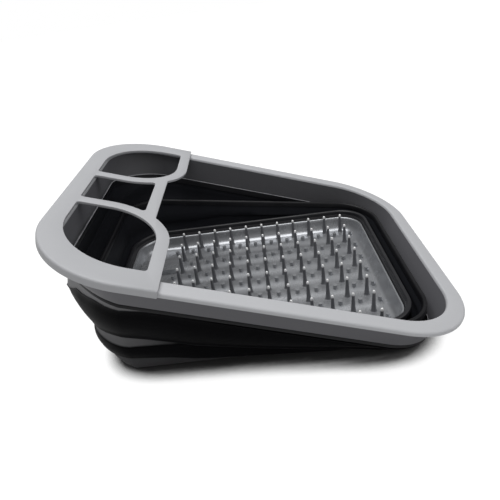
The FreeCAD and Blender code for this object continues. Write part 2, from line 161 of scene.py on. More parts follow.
class Sheet:
    """One material's node sheet, with its Principled shader."""

    def __init__(self, name: str) -> None:
        """Starts a material on an empty sheet.

        Args:
            name: the material's name.
        """
        self.material = bpy.data.materials.new(name)
        self.material.use_nodes = True
        self.tree = self.material.node_tree
        self.tree.nodes.clear()
        output = self.node("ShaderNodeOutputMaterial", {}, {})
        self.shader = self.node("ShaderNodeBsdfPrincipled", {}, {})
        self.tree.links.new(self.shader.outputs[0], output.inputs[0])

    def give(self, socket: Socket, value: Any) -> None:
        """Sets or links a socket.

        Args:
            socket: the socket.
            value: a constant, a Signal or another socket.
        """
        source = value.socket if isinstance(value, Signal) else value
        if isinstance(source, Socket):
            self.tree.links.new(source, socket)
        else:
            socket.default_value = source

    def node(
        self, kind: str, settings: Dict[str, Any], inputs: Dict[Union[int, str], Any]
    ) -> bpy.types.Node:
        """Adds a node.

        Args:
            kind: the node's type.
            settings: what is set before its sockets, such as an operation or a ramp's stops.
            inputs: a value, a Signal or a socket for each named or numbered input.

        Returns:
            The new node.
        """
        made = self.tree.nodes.new(kind)
        for key, value in settings.items():
            if key == "stops":
                self._stops(made.color_ramp, value)
            else:
                setattr(made, key, value)
        for key, value in inputs.items():
            self.give(made.inputs[key], value)
        return made

    @staticmethod
    def _stops(ramp: bpy.types.ColorRamp, stops: Profile) -> None:
        """Sets a ramp's grey stops.

        Args:
            ramp: the ramp.
            stops: pairs of position and level.
        """
        while len(ramp.elements) < len(stops):
            ramp.elements.new(1.0)
        for element, (position, level) in zip(ramp.elements, stops):
            element.position = position
            element.color = (level, level, level, 1.0)

    def place(self) -> Socket:
        """Object coordinates, in metres in the rack's frame."""
        return self.node("ShaderNodeTexCoord", {}, {}).outputs["Object"]

    def reach(self, letter: str, low: float, high: float) -> Signal:
        """How far a surface lies along one axis, between two places.

        Args:
            letter: X, Y or Z.
            low: place in metres up to which it is 0.
            high: place in metres from which it is 1.

        Returns:
            The share.
        """
        parts = self.node("ShaderNodeSeparateXYZ", {}, {0: self.place()})
        return ((Signal(self, parts.outputs[letter]) - low) / (high - low)).clipped()

    def noise(self, cloud: Cloud) -> Signal:
        """A cloudy pattern.

        Args:
            cloud: its scale and octaves.

        Returns:
            The pattern's value, from 0 to 1.
        """
        inputs = {
            "Vector": self.place(),
            "Scale": cloud.scale,
            "Detail": cloud.detail,
            "Roughness": cloud.rough,
        }
        return Signal(self, self.node("ShaderNodeTexNoise", {}, inputs).outputs[0])

    def carried(self, name: str) -> Signal:
        """A value that a piece carries on its corners, by the name of its attribute."""
        made = self.node("ShaderNodeAttribute", {"attribute_name": name}, {})
        return Signal(self, made.outputs["Fac"])

    def ramp(self, value: Signal, stops: Profile) -> Signal:
        """A value run through grey stops, pairs of position and level."""
        made = self.node("ShaderNodeValToRGB", {"stops": stops}, {0: value})
        return Signal(self, made.outputs[0])

    def blend(self, share: Number, first: Any, second: Any) -> Socket:
        """A mix of two colours.

        Args:
            share: how much of the second, from 0 to 1.
            first: colour or socket.
            second: colour or socket.

        Returns:
            The mixed colour's socket.
        """
        settings = {"data_type": "RGBA", "blend_type": "MIX"}
        return self.node("ShaderNodeMix", settings, {0: share, 6: first, 7: second}).outputs[2]

    def bump(self, height: Number, depth: float, strength: float) -> None:
        """Roughens the shader's normal.

        Args:
            height: pattern from 0 to 1.
            depth: how deep the pattern is, in millimetres.
            strength: how much of it shows.
        """
        inputs = {"Height": height, "Distance": depth * MM, "Strength": strength}
        self.feed("Normal", self.node("ShaderNodeBump", {}, inputs).outputs[0])

    def feed(self, name: str, value: Any) -> None:
        """Sets or links one of the shader's sockets, by its name."""
        self.give(self.shader.inputs[name], value)


def colour(red: float, green: float, blue: float) -> Tint:
    """A shader colour from display values of 0 to 255.

    Args:
        red: red level.
        green: green level.
        blue: blue level.

    Returns:
        The colour in scene values, with full alpha.
    """

    def scene(level: float) -> float:
        """One display level as a scene value, by the sRGB curve."""
        part = level / 255.0
        return part / 12.92 if part <= 0.04045 else ((part + 0.055) / 1.055) ** 2.4

    return (scene(red), scene(green), scene(blue), 1.0)


def turned_down(tint: Tint, share: float) -> Tint:
    """A colour with its channels turned down to a share."""
    return tuple(channel * share for channel in tint[:3]) + (1.0,)


@dataclass(frozen=True)
class MattePlastic:
    """Fine-grained moulded plastic with a little cloudiness, and painted shade towards the rear if
    asked.
    """

    name: str
    level: Level
    shade: float = 0.94
    roughness: float = 0.52
    flow_roughness: float = 0.07
    grain_roughness: float = 0.06
    cloud: Cloud = Cloud(14.0, 4.0, 0.55)
    grain: Cloud = Cloud(2600.0, 2.0, 0.6)
    flow: Cloud = Cloud(70.0, 3.0, 0.5)
    grain_depth: float = 0.05
    grain_share: float = 0.8
    relief: float = 0.5
    gloss: float = 1.46
    painted_rear_shade: float = 1.0
    painted_rear_shade_reach: Pair = (60.0, 130.0)

    def build(self) -> Material:
        """Makes the material.

        Returns:
            The finished material.
        """
        sheet = Sheet(self.name)
        base = colour(*self.level)
        cloud = sheet.noise(self.cloud)
        grain = sheet.noise(self.grain)
        flow = sheet.noise(self.flow)
        skin = sheet.blend(cloud, turned_down(base, self.shade), base)
        # Painted shade: the colour darkens towards the rear, standing in for the dimmer light
        # there.
        if self.painted_rear_shade < 1.0:
            near, far = self.painted_rear_shade_reach
            reach = sheet.reach("Y", near * MM, far * MM)
            skin = sheet.blend(reach, skin, turned_down(base, self.painted_rear_shade))
        sheet.feed("Base Color", skin)
        even = self.roughness - self.grain_roughness
        cloudy = self.flow_roughness * flow + self.grain_roughness * grain
        sheet.feed("Roughness", even + cloudy)
        sheet.feed("IOR", self.gloss)
        relief = grain * self.grain_share + flow * (1 - self.grain_share)
        sheet.bump(relief, self.grain_depth, self.relief)
        return sheet.material


@dataclass(frozen=True)
class SoftRubber:
    """Near-black moulded rubber with a satin skin and faint flow.

    A painted sheen makes a wall paler where it would catch light, and its inside is painted
    lighter for the light that reaches in. The pairs for these two give their least share, and
    how much the flow adds to it.
    """

    name: str
    level: Level
    bloom: Level
    roughness: float = 0.42
    flow_roughness: float = 0.1
    pore_roughness: float = 0.05
    gloss: float = 1.2
    flow: Cloud = Cloud(24.0, 4.0, 0.6)
    pores: Cloud = Cloud(1500.0, 2.0, 0.5)
    film_stops: Profile = ((0.35, 0.0), (0.75, 1.0))
    film_share: float = 0.6
    pore_depth: float = 0.08
    pore_share: float = 0.7
    relief: float = 0.5
    # Painted sheen: a paler colour that stands in for light the wall would catch from its bright
    # surroundings.
    stretched: Optional[Level] = None
    painted_sheen_cloud: Pair = (0.85, 0.3)
    # Painted light: a lighter colour for the wall's inside, standing in for the light that reaches
    # it.
    inside: Level = (36, 37, 41)
    inside_light_cloud: Pair = (0.7, 0.5)

    def build(self) -> Material:
        """Makes the material.

        Returns:
            The finished material.
        """
        sheet = Sheet(self.name)
        flow = sheet.noise(self.flow)
        pores = sheet.noise(self.pores)
        film = sheet.ramp(flow, self.film_stops)
        skin = sheet.blend(film * self.film_share, colour(*self.level), colour(*self.bloom))
        # Painted sheen: marked levels are turned paler, standing in for light they catch.
        if self.stretched is not None:
            least, added = self.painted_sheen_cloud
            thin = sheet.carried("stretched") * (least + added * flow)
            skin = sheet.blend(thin.clipped(), skin, colour(*self.stretched))
            # Painted light: faces marked as inside are turned lighter, standing in for the light
            # that reaches them.
            least, added = self.inside_light_cloud
            inner = sheet.carried("inside") * (least + added * flow)
            skin = sheet.blend(inner, skin, colour(*self.inside))
        sheet.feed("Base Color", skin)
        even = self.roughness - 0.5 * self.flow_roughness
        cloudy = self.flow_roughness * flow + self.pore_roughness * pores
        sheet.feed("Roughness", even + cloudy)
        sheet.feed("IOR", self.gloss)
        relief = pores * self.pore_share + flow * (1 - self.pore_share)
        sheet.bump(relief, self.pore_depth, self.relief)
        return sheet.material


@dataclass(frozen=True)
class SatinPlate:
    """Silver-grey moulded plate with a glossy skin, fine flow and, if asked, a painted highlight on
    the tips.
    """

    name: str
    level: Level
    dark: Level
    roughness: float
    cloud_roughness: float = 0.08
    grain_roughness: float = 0.05
    cloud: Cloud = Cloud(30.0, 5.0, 0.6)
    grain: Cloud = Cloud(1800.0, 2.0, 0.5)
    grain_depth: float = 0.06
    grain_share: float = 0.6
    relief: float = 0.4
    gloss: float = 1.5
    tip_highlight: Optional[Pair] = None
    tip_highlight_level: Level = (250, 250, 250)
    metal: float = 0.6

    def build(self) -> Material:
        """Makes the material.

        Returns:
            The finished material.
        """
        sheet = Sheet(self.name)
        cloud = sheet.noise(self.cloud)
        grain = sheet.noise(self.grain)
        skin = sheet.blend(cloud, colour(*self.dark), colour(*self.level))
        # Painted highlight: the tops of the pegs are turned near-white, standing in for the light
        # they catch.
        if self.tip_highlight is not None:
            low, high = self.tip_highlight
            skin = sheet.blend(sheet.reach("Z", low * MM, high * MM), skin, colour(*self.tip_highlight_level))
        sheet.feed("Base Color", skin)
        sheet.feed("Metallic", self.metal)
        even = self.roughness - 0.5 * self.cloud_roughness
        cloudy = self.cloud_roughness * cloud + self.grain_roughness * grain
        sheet.feed("Roughness", even + cloudy)
        sheet.feed("IOR", self.gloss)
        relief = grain * self.grain_share + cloud * (1 - self.grain_share)
        sheet.bump(relief, self.grain_depth, self.relief)
        return sheet.material


def built(finish: Union[MattePlastic, SoftRubber, SatinPlate]) -> Any:
    """A field whose material is made together with the set that holds it."""
    return field(default_factory=finish.build)


@dataclass
class Finishes:
    """All the rack's materials, made once."""

    rim: Material = built(MattePlastic("rim_plastic_finish", (186, 187, 190)))
    # The skirt is painted darker towards its rear as shade.
    skirt: Material = built(
        MattePlastic("skirt_plastic_finish", (98, 98, 102), roughness=0.46, painted_rear_shade=0.5)
    )
    # The soft walls carry a painted sheen and a painted lighter inside.
    wall: Material = built(
        SoftRubber("soft_wall_finish", (3, 3, 5), (9, 9, 12), gloss=1.12, stretched=(128, 128, 130))
    )
    hoop: Material = built(
        SoftRubber("hoop_finish", (20, 20, 23), (34, 34, 36), roughness=0.36, gloss=1.3)
    )
    base: Material = built(
        SoftRubber("base_wall_finish", (58, 58, 60), (72, 72, 74), roughness=0.5, gloss=1.3)
    )
    plate: Material = built(SatinPlate("plate_finish", (176, 178, 181), (150, 152, 156), 0.24))
    plug: Material = built(SoftRubber("plug_finish", (40, 40, 42), (55, 55, 58)))
    # The pegs carry a painted highlight on their tops.
    pegs: Material = built(
        SatinPlate("peg_finish", (112, 113, 117), (88, 89, 93), 0.3, tip_highlight=(30.5, 31.8), metal=0.15)
    )
    # Light grey of the collar bead, a painted highlight.
    seam: Material = built(MattePlastic("collar_glint_finish", (150, 150, 154)))
    frame: Material = built(MattePlastic("utensil_frame_finish", (176, 177, 180)))
    ridge: Material = built(
        SoftRubber("base_ridge_finish", (30, 30, 33), (46, 46, 49), roughness=0.3, gloss=1.42)
    )


@dataclass(frozen=True)
class Outline:
    """A rounded rectangle centred on the origin, in metres."""

    half_x: float
    half_y: float
    corner: float

    def inset(self, amount: float) -> "Outline":
        """The same outline drawn in by an amount."""
        return Outline(self.half_x - amount, self.half_y - amount, self.corner - amount)

    def stations(self) -> List[Point]:
        """Points all round, the same number for every outline.

        Returns:
            Points in order, anticlockwise from the right end of the rear right corner.
        """
        points: List[Point] = []
        line_x = self.half_x - self.corner
        line_y = self.half_y - self.corner
        side_ends = (
            (-line_x, self.half_y),
            (-self.half_x, -line_y),
            (line_x, -self.half_y),
            (self.half_x, line_y),
        )
        for quarter, (end_x, end_y) in enumerate(side_ends):
            middle_x = line_x if quarter in (0, 3) else -line_x
            middle_y = line_y if quarter in (0, 1) else -line_y
            for step in range(CORNER_STEPS + 1):
                angle = 0.5 * math.pi * (quarter + step / CORNER_STEPS)
                x = middle_x + self.corner * math.cos(angle)
                points.append((x, middle_y + self.corner * math.sin(angle), 0.0))
            start_x, start_y, _ = points[-1]
            steps = LONG_SIDE_STEPS if quarter in (0, 2) else SHORT_SIDE_STEPS
            for step in range(1, steps):
                share = step / steps
                x = start_x + (end_x - start_x) * share
                points.append((x, start_y + (end_y - start_y) * share, 0.0))
        return points

    def at(self, inset: float, station: int) -> Point:
        """A station's point on the outline drawn in by an inset in millimetres."""
        return self.inset(inset * MM).stations()[station]


@dataclass(frozen=True)
class Plane:
    """A plane that leans down to the right, from the heights of its two ends, in metres."""

    half_length: float
    left_z: float
    right_z: float
    centre_x: float

    def matrix(self) -> Matrix:
        """Place of the plane in the rack's frame."""
        tilt = math.asin((self.left_z - self.right_z) / (2 * self.half_length))
        centre = (self.centre_x + BASE_SHIFT, 0.0, 0.5 * (self.left_z + self.right_z))
        return Matrix.Translation(centre) @ Matrix.Rotation(tilt, 4, "Y")

    def point(self, flat: Point, depth: float = 0.0) -> Vector:
        """A point of the plane in the rack's frame.

        Args:
            flat: the point seen square to the plane.
            depth: how far under the plane it lies, in metres.

        Returns:
            The point.
        """
        return self.matrix() @ Vector((flat[0], flat[1], flat[2] - depth))


RIM_OUTLINE = Outline(185 * MM, 155 * MM, 75 * MM)
BASE_OUTLINE = Outline(145.5 * MM, 115 * MM, 34 * MM)
RIM_PLANE = Plane(185 * MM, 150.2 * MM, 30.4 * MM, 15.2 * MM)
HOOP_PLANE = Plane(155 * MM, 79.2 * MM, 31.5 * MM, 6.5 * MM)
UPPER_TURN = Plane(156.5 * MM, 65 * MM, 4 * MM, 3.5 * MM)
LOWER_TURN = Plane(148.5 * MM, 25.5 * MM, 5 * MM, 0.2 * MM)
LEVEL = Matrix.Translation((BASE_SHIFT, 0.0, 0.0))
CORNER_MIDDLE = (110 * MM, 80 * MM)
SKIRT_DRAW = 0.24
SKIRT_DRAW_START = 3 * MM


def along(point: Vector) -> float:
    """A point's place along the rack in millimetres, from the middle of its outlines."""
    return (point.x - BASE_SHIFT) / MM


def held(value: float) -> float:
    """A value held between 0 and 1."""
    return max(0.0, min(1.0, value))


def between(value: float, table: Profile) -> float:
    """Looks a value up in a table, eased between its rows.

    Args:
        value: what is looked up.
        table: rows of place and level, places rising.

    Returns:
        The level.
    """
    if value <= table[0][0]:
        return table[0][1]
    for (low, first), (high, second) in zip(table, table[1:]):
        if value <= high:
            share = (value - low) / (high - low)
            share = share * share * (3 - 2 * share)
            return first + (second - first) * share
    return table[-1][1]


def drawn_in(x: float, y: float, amount: float) -> Pair:
    """Draws the raised end's corners in, most at their middle.

    Args:
        x: place along the rack, from the middle of its outlines, in metres.
        y: place across it, in metres.
        amount: how far the middle of a corner moves, in metres.

    Returns:
        The moved place.
    """
    side = 1.0 if y > 0 else -1.0
    reach_x = -x - CORNER_MIDDLE[0]
    reach_y = side * y - CORNER_MIDDLE[1]
    if reach_x <= 0 or reach_y <= 0:
        return (x, y)
    reach = math.hypot(reach_x, reach_y)
    share = 2 * reach_x * reach_y / (reach * reach)
    move = amount * share / reach
    return (x + reach_x * move, y - side * reach_y * move)


def cut_back(point: Vector, amount: float) -> Vector:
    """Draws a point of the rack's frame in as drawn_in does, by an amount in millimetres."""
    x, y = drawn_in(point.x - BASE_SHIFT, point.y, amount * MM)
    return Vector((x + BASE_SHIFT, y, point.z))


def skirt_draw(depth: float) -> float:
    """How far the skirt's corners are drawn in at a depth under the rim's plane, in metres."""
    return SKIRT_DRAW * max(0.0, depth - SKIRT_DRAW_START)


def hung(flat: Point, depth: float) -> Vector:
    """A point of the skirt's drawn-in lower part, in the rack's frame."""
    x, y = drawn_in(flat[0], flat[1], skirt_draw(depth))
    return RIM_PLANE.point((x, y, flat[2]), depth)


def outward(station: int) -> Vector:
    """Unit vector that points out of the rack at a station, level."""
    return (Vector(RIM_OUTLINE.at(0, station)) - Vector(RIM_OUTLINE.at(5, station))).normalized()


def eased(start: Vector, end: Vector, steps: int, bulge: Vector) -> List[Vector]:
    """Points between two ends, pushed out in the middle.

    Args:
        start: first end, left out of the points.
        end: second end, the last point.
        steps: how many points.
        bulge: how far the middle is pushed.

    Returns:
        The points.
    """
    shares = [step / steps for step in range(1, steps + 1)]
    return [start.lerp(end, share) + bulge * math.sin(math.pi * share) for share in shares]


def rolled(flank: Vector, inner: Vector, low: float, steps: int) -> List[Vector]:
    """The round low turn of a wall, from its inner to its outer panel.

    Args:
        flank: where the outer panel starts.
        inner: where the inner panel ends, at the turn's height.
        low: how far the turn hangs under the two, in metres.
        steps: how many steps it takes.

    Returns:
        The turn's points, from the inner panel to the flank.
    """
    made = []
    for step in range(1, steps):
        angle = math.pi * step / steps
        side = inner.lerp(flank, 0.5 - 0.5 * math.cos(angle))
        made.append(Vector((side.x, side.y, side.z - low * math.sin(angle))))
    return made


class Bench:
    """Edit-mode steps that the pieces share."""

    @staticmethod
    def clear() -> None:
        """Leaves edit mode with nothing selected."""
        current = bpy.context.view_layer.objects.active
        if current is not None and current.mode != "OBJECT":
            bpy.ops.object.mode_set(mode="OBJECT")
        bpy.ops.object.select_all(action="DESELECT")

    @staticmethod
    def take(piece: Piece) -> None:
        """Makes a piece the only one selected."""
        Bench.clear()
        piece.select_set(True)
        bpy.context.view_layer.objects.active = piece

    @staticmethod
    def edit(kind: str = "FACE") -> None:
        """Enters edit mode on the active piece, in one select mode, with all selected."""
        bpy.ops.object.mode_set(mode="EDIT")
        bpy.ops.mesh.select_mode(type=kind)
        bpy.ops.mesh.select_all(action="SELECT")

    @staticmethod
    def done() -> Piece:
        """Leaves edit mode and gives back the active piece."""
        bpy.ops.object.mode_set(mode="OBJECT")
        return bpy.context.view_layer.objects.active

    @staticmethod
    def scale(x: float, y: float) -> None:
        """Scales what is selected about the origin, across and along."""
        bpy.ops.transform.resize(value=(x, y, 1), center_override=(0, 0, 0))

    @staticmethod
    def raise_up(height: float) -> None:
        """Extrudes what is selected upwards, by a height in metres."""
        bpy.ops.mesh.extrude_region_move(TRANSFORM_OT_translate={"value": (0, 0, height)})

    @staticmethod
    def plate(name: str, outline: Outline, height: float, segments: int) -> Piece:
        """A flat plate with rounded corners, selected in edit mode.

        Args:
            name: the piece's name.
            outline: its rounded rectangle.
            height: its height over its own plane, in metres.
            segments: steps round each corner.

        Returns:
            The piece.
        """
        Bench.clear()
        bpy.ops.mesh.primitive_plane_add(size=2)
        piece = bpy.context.object
        piece.name = name
        Bench.edit()
        Bench.scale(outline.half_x, outline.half_y)
        bpy.ops.transform.translate(value=(0, 0, height))
        bpy.ops.mesh.bevel(
            offset=outline.corner,
            offset_type="OFFSET",
            segments=segments,
            profile=0.5,
            affect="VERTICES",
        )
        bpy.ops.mesh.select_all(action="SELECT")
        return piece

    @staticmethod
    def ring(name: str, outline: Outline, profile: Profile, segments: int) -> Piece:
        """An open moulded ring, drawn in step by step along a profile.

        Args:
            name: the piece's name.
            outline: outline that the insets are measured from.
            profile: pairs of inset and height, insets never falling.
            segments: steps round each corner.

        Returns:
            The ring, with its middle left open.
        """
        inset, height = profile[0]
        Bench.plate(name, outline.inset(inset * MM), height * MM, segments)
        for before, after in zip(profile, profile[1:]):
            bpy.ops.mesh.inset(
                thickness=(after[0] - before[0]) * MM,
                depth=(after[1] - before[1]) * MM,
                use_even_offset=True,
                use_boundary=True,
            )
        bpy.ops.mesh.delete(type="ONLY_FACE")
        return Bench.done()

    @staticmethod
    def bead(name: str, outline: Outline, profile: Profile, segments: int) -> Piece:
        """A solid moulded ring, bridged between its profile's two ends.

        Args:
            name: the piece's name.
            outline: outline that the insets are measured from.
            profile: pairs of inset and height, insets never falling.
            segments: steps round each corner.

        Returns:
            The ring, its faces outwards.
        """
        piece = Bench.ring(name, outline, profile, segments)
        Bench.take(piece)
        Bench.edit("EDGE")
        bpy.ops.mesh.select_all(action="DESELECT")
        bpy.ops.mesh.select_non_manifold()
        bpy.ops.mesh.bridge_edge_loops()
        Bench.done()
        Bench.tidy_normals(piece)
        return piece

    @staticmethod
    def finish(piece: Piece, kind: str, **settings: Any) -> None:
        """Adds one modifier and applies it.

        Args:
            piece: the piece.
            kind: the modifier's type.
            **settings: the modifier's settings.
        """
        Bench.take(piece)
        modifier = piece.modifiers.new(kind.title(), kind)
        for key, value in settings.items():
            setattr(modifier, key, value)
        bpy.ops.object.modifier_apply(modifier=modifier.name)

    @staticmethod
    def thicken(piece: Piece, thickness: float, even: bool = True) -> None:
        """Gives an open surface a wall behind it.

        Args:
            piece: the surface.
            thickness: the wall, in millimetres.
            even: whether sharp folds keep the full wall.
        """
        Bench.finish(
            piece,
            "SOLIDIFY",
            thickness=thickness * MM,
            offset=-1.0,
            use_even_offset=even,
            use_quality_normals=True,
        )

    @staticmethod
    def soften(piece: Piece, width: float) -> None:
        """Rounds the sharp edges.

        Args:
            piece: the piece.
            width: size of the rounding, in millimetres.
        """
        Bench.finish(
            piece,
            "BEVEL",
            width=width * MM,
            segments=2,
            limit_method="ANGLE",
            angle_limit=math.radians(SOFTENED_ANGLE),
            harden_normals=False,
            use_clamp_overlap=True,
        )

    @staticmethod
    def cut(piece: Piece, tool: Piece, keep: Keep) -> None:
        """Cuts a piece with a tool and throws the tool away."""
        Bench.finish(piece, "BOOLEAN", object=tool, operation=keep.value, solver="EXACT")
        bpy.data.objects.remove(tool, do_unlink=True)

    @staticmethod
    def smooth(piece: Piece, degrees: float = 40.0) -> None:
        """Shades smooth, apart from edges sharper than an angle."""
        Bench.take(piece)
        bpy.ops.object.shade_smooth_by_angle(angle=math.radians(degrees))

    @staticmethod
    def settle(piece: Piece, place: Matrix) -> None:
        """Puts a finished piece in its place and leaves its object at the origin.

        Args:
            piece: the piece.
            place: where it goes.
        """
        Bench.take(piece)
        piece.matrix_world = place @ piece.matrix_world
        bpy.ops.object.transform_apply(location=True, rotation=True, scale=True)

    @staticmethod
    def cut_corners(piece: Piece, amount: Callable[[float], float]) -> None:
        """Draws in a settled piece's corners at the raised end.

        Args:
            piece: the piece, in its place.
            amount: how far for a height, both in millimetres.
        """
        for vertex in piece.data.vertices:
            vertex.co = cut_back(vertex.co, amount(vertex.co.z / MM))
        piece.data.update()

    @staticmethod
    def weld(piece: Piece, reach: float) -> None:
        """Merges doubles and stays in edit mode, with all selected.

        Args:
            piece: the piece.
            reach: distance under which corners merge, in metres.
        """
        Bench.take(piece)
        Bench.edit("VERT")
        bpy.ops.mesh.remove_doubles(threshold=reach)

    @staticmethod
    def tidy_normals(piece: Piece, reach: float = WELD_REACH) -> None:
        """Merges doubles and turns all faces outwards.

        Args:
            piece: the piece.
            reach: distance under which corners merge, in metres.
        """
        Bench.weld(piece, reach)
        bpy.ops.mesh.normals_make_consistent(inside=False)
        Bench.done()

    @staticmethod
    def traced(node: str) -> Piece:
        """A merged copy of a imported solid, with its flat faces made whole.

        Args:
            node: the solid's node.

        Returns:
            The copy, named for its node.
        """
        Bench.clear()
        source = bpy.data.objects[node]
        piece = bpy.data.objects.new(node + "_moulding", source.data.copy())
        piece.matrix_world = source.matrix_world.copy()
        bpy.context.scene.collection.objects.link(piece)
        Bench.weld(piece, TRACE_WELD_REACH)
        bpy.ops.mesh.dissolve_limited(angle_limit=math.radians(FLAT_ANGLE))
        Bench.done()
        Bench.take(piece)
        bpy.ops.object.transform_apply(location=True, rotation=True, scale=True)
        return piece

    @staticmethod
    def join(pieces: Sequence[Piece], name: str) -> Piece:
        """Joins pieces into the first one.

        Args:
            pieces: what is joined.
            name: the joined piece's name.

        Returns:
            The joined piece.
        """
        Bench.clear()
        for piece in pieces:
            piece.select_set(True)
        bpy.context.view_layer.objects.active = pieces[0]
        bpy.ops.object.join()
        pieces[0].name = name
        return pieces[0]

    @staticmethod
    def dress(piece: Piece, material: Material) -> None:
        """Gives a piece its one material, and reports it.

        Args:
            piece: the piece.
            material: its finish.
        """
        piece.data.materials.clear()
        piece.data.materials.append(material)
        log.info("%s: %d faces", piece.name, len(piece.data.polygons))


@dataclass
class Rim:
    """The raised rim: flange with lip, skirt and collar."""

    finishes: Finishes
    segments: int = 32
    flange_profile: Profile = (
        (0.0, -3.7), (0.0, -1.9), (0.3, -1.15), (0.85, -0.55), (1.6, -0.18), (2.6, 0.0),
        (9.0, 0.0), (14.2, 0.0), (15.1, -0.2), (15.7, -0.8), (16.0, -1.8), (16.05, -3.0),
    )
    flange_wall: float = 2.0
    skirt_profile: Profile = (
        (15.9, -2.6), (16.9, -8.0), (18.0, -14.0), (19.1, -20.0), (19.9, -24.8), (20.6, -28.0),
        (21.2, -28.4), (21.3, -29.0),
    )
    skirt_wall: float = 2.0
    collar_profile: Profile = (
        (19.3, -33.0), (19.3, -31.0), (19.6, -29.8), (20.2, -29.2), (22.3, -29.1),
        (22.3, -26.8), (22.6, -26.4), (23.0, -26.4), (23.2, -27.0), (23.3, -33.0),
    )
    # A light-grey bead at the top of the collar, a painted highlight for the thin light line along
    # the skirt's lower edge.
    glint_bead_profile: Profile = (
        (22.2, -26.6), (22.2, -26.2), (22.4, -26.0), (22.8, -26.0), (23.0, -26.2), (23.0, -26.6),
    )

    @staticmethod
    def draw_in(piece: Piece) -> None:
        """Draws the raised corners in, while the piece still lies in the rim's own plane."""
        for vertex in piece.data.vertices:
            amount = skirt_draw(-vertex.co.z)
            vertex.co.x, vertex.co.y = drawn_in(vertex.co.x, vertex.co.y, amount)
        piece.data.update()

    def fit(self, piece: Piece, material: Material) -> None:
        """Puts a piece in its place on the rim.

        Args:
            piece: the piece, in the rim's own plane.
            material: its finish.
        """
        Bench.smooth(piece)
        Bench.settle(piece, RIM_PLANE.matrix())
        Bench.dress(piece, material)
        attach(piece, Bodies.RIM.value)

    def build(self) -> None:
        """Makes the rim's pieces."""
        flange = Bench.ring("rim_flange_moulding", RIM_OUTLINE, self.flange_profile, self.segments)
        Bench.thicken(flange, self.flange_wall)
        self.fit(flange, self.finishes.rim)
        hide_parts("rim_flange")

        skirt = Bench.ring("rim_skirt_band", RIM_OUTLINE, self.skirt_profile, self.segments)
        Bench.thicken(skirt, self.skirt_wall)
        self.draw_in(skirt)
        self.fit(skirt, self.finishes.skirt)
        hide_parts("rim_skirt")

        collar = Bench.bead("rim_collar_bead", RIM_OUTLINE, self.collar_profile, self.segments)
        self.draw_in(collar)
        self.fit(collar, self.finishes.hoop)
        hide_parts("rim_collar")

        # Painted highlight: a light-grey bead along the top of the collar.
        seam = Bench.bead("rim_collar_seam", RIM_OUTLINE, self.glint_bead_profile, self.segments)
        self.draw_in(seam)
        self.fit(seam, self.finishes.seam)


@dataclass(frozen=True)
class UpperPath:
    """The upper wall's section: from the hoop down, round its low turn and up to the rim.

    Insets are measured from the rim's outline. A cut is how far the raised end's corners are
    drawn in. The sag lifts or lowers the turn, and the strip's table lowers its lower edge, both
    by the place along the rack.
    """

    steps: Tuple[int, int, int] = (4, 6, 10)
    seat_inset: float = 30.7
    seat_depth: float = 6.2
    seat_cut: float = 3.0
    turn_inset: float = 31.6
    turn_low: float = 2.6
    turn_cut: float = 3.5
    flank_inset: float = 28.4
    flank_rise: float = 2.5
    flank_cut: float = 4.0
    top_inset: float = 20.4
    top_depth: float = 33.1
    ledge_inset: float = 21.0
    ledge_depth: float = 33.6
    lip_inset: float = 20.2
    lip_drop: float = 0.5
    hem_share: float = 0.06
    bulge: float = 4.2
    bulge_height: float = 40.0
    least_bulge: float = 0.05
    sag: Profile = (
        (-155.0, -4.5), (-138.0, -2.5), (-112.0, 1.5), (-85.0, 0.0), (-46.0, -4.3), (4.0, -4.6),
        (40.0, -3.8), (100.0, -1.5), (160.0, 0.0),
    )
    strip: Profile = ((-151.0, 26.0), (-140.0, 12.0), (-120.0, 5.0), (-85.0, 0.8))

    def points(self, station: int) -> List[Vector]:
        """The section at one station.

        Args:
            station: which of the outlines' stations.

        Returns:
            The section's points, from its seat to its top.
        """
        rim = RIM_OUTLINE
        seat = HOOP_PLANE.point(rim.at(self.seat_inset, station), self.seat_depth * MM)
        lift = Vector((0, 0, between(along(seat), self.sag) * MM))
        seat = cut_back(seat, self.seat_cut)
        turn = UPPER_TURN.point(rim.at(self.turn_inset, station)) + lift
        turn = cut_back(turn, self.turn_cut)
        flank = UPPER_TURN.point(rim.at(self.flank_inset, station), -self.flank_rise * MM) + lift
        flank = cut_back(flank, self.flank_cut)
        top = hung(rim.at(self.top_inset, station), self.top_depth * MM)
        fall = self.ledge_depth * MM + between(along(flank), self.strip) * MM
        ledge = hung(rim.at(self.ledge_inset, station), fall)
        lip = hung(rim.at(self.lip_inset, station), fall + self.lip_drop * MM)
        room = max(self.least_bulge, min(1.0, (lip.z - flank.z) / (self.bulge_height * MM)))
        hem = lip + (flank - lip) * self.hem_share
        inner, round_turn, outer = self.steps
        return [
            seat,
            *eased(seat, turn, inner, Vector()),
            *rolled(flank, turn, self.turn_low * MM, round_turn),
            flank,
            *eased(flank, hem, outer, outward(station) * (self.bulge * MM * room)),
            lip,
            ledge,
            top,
        ]


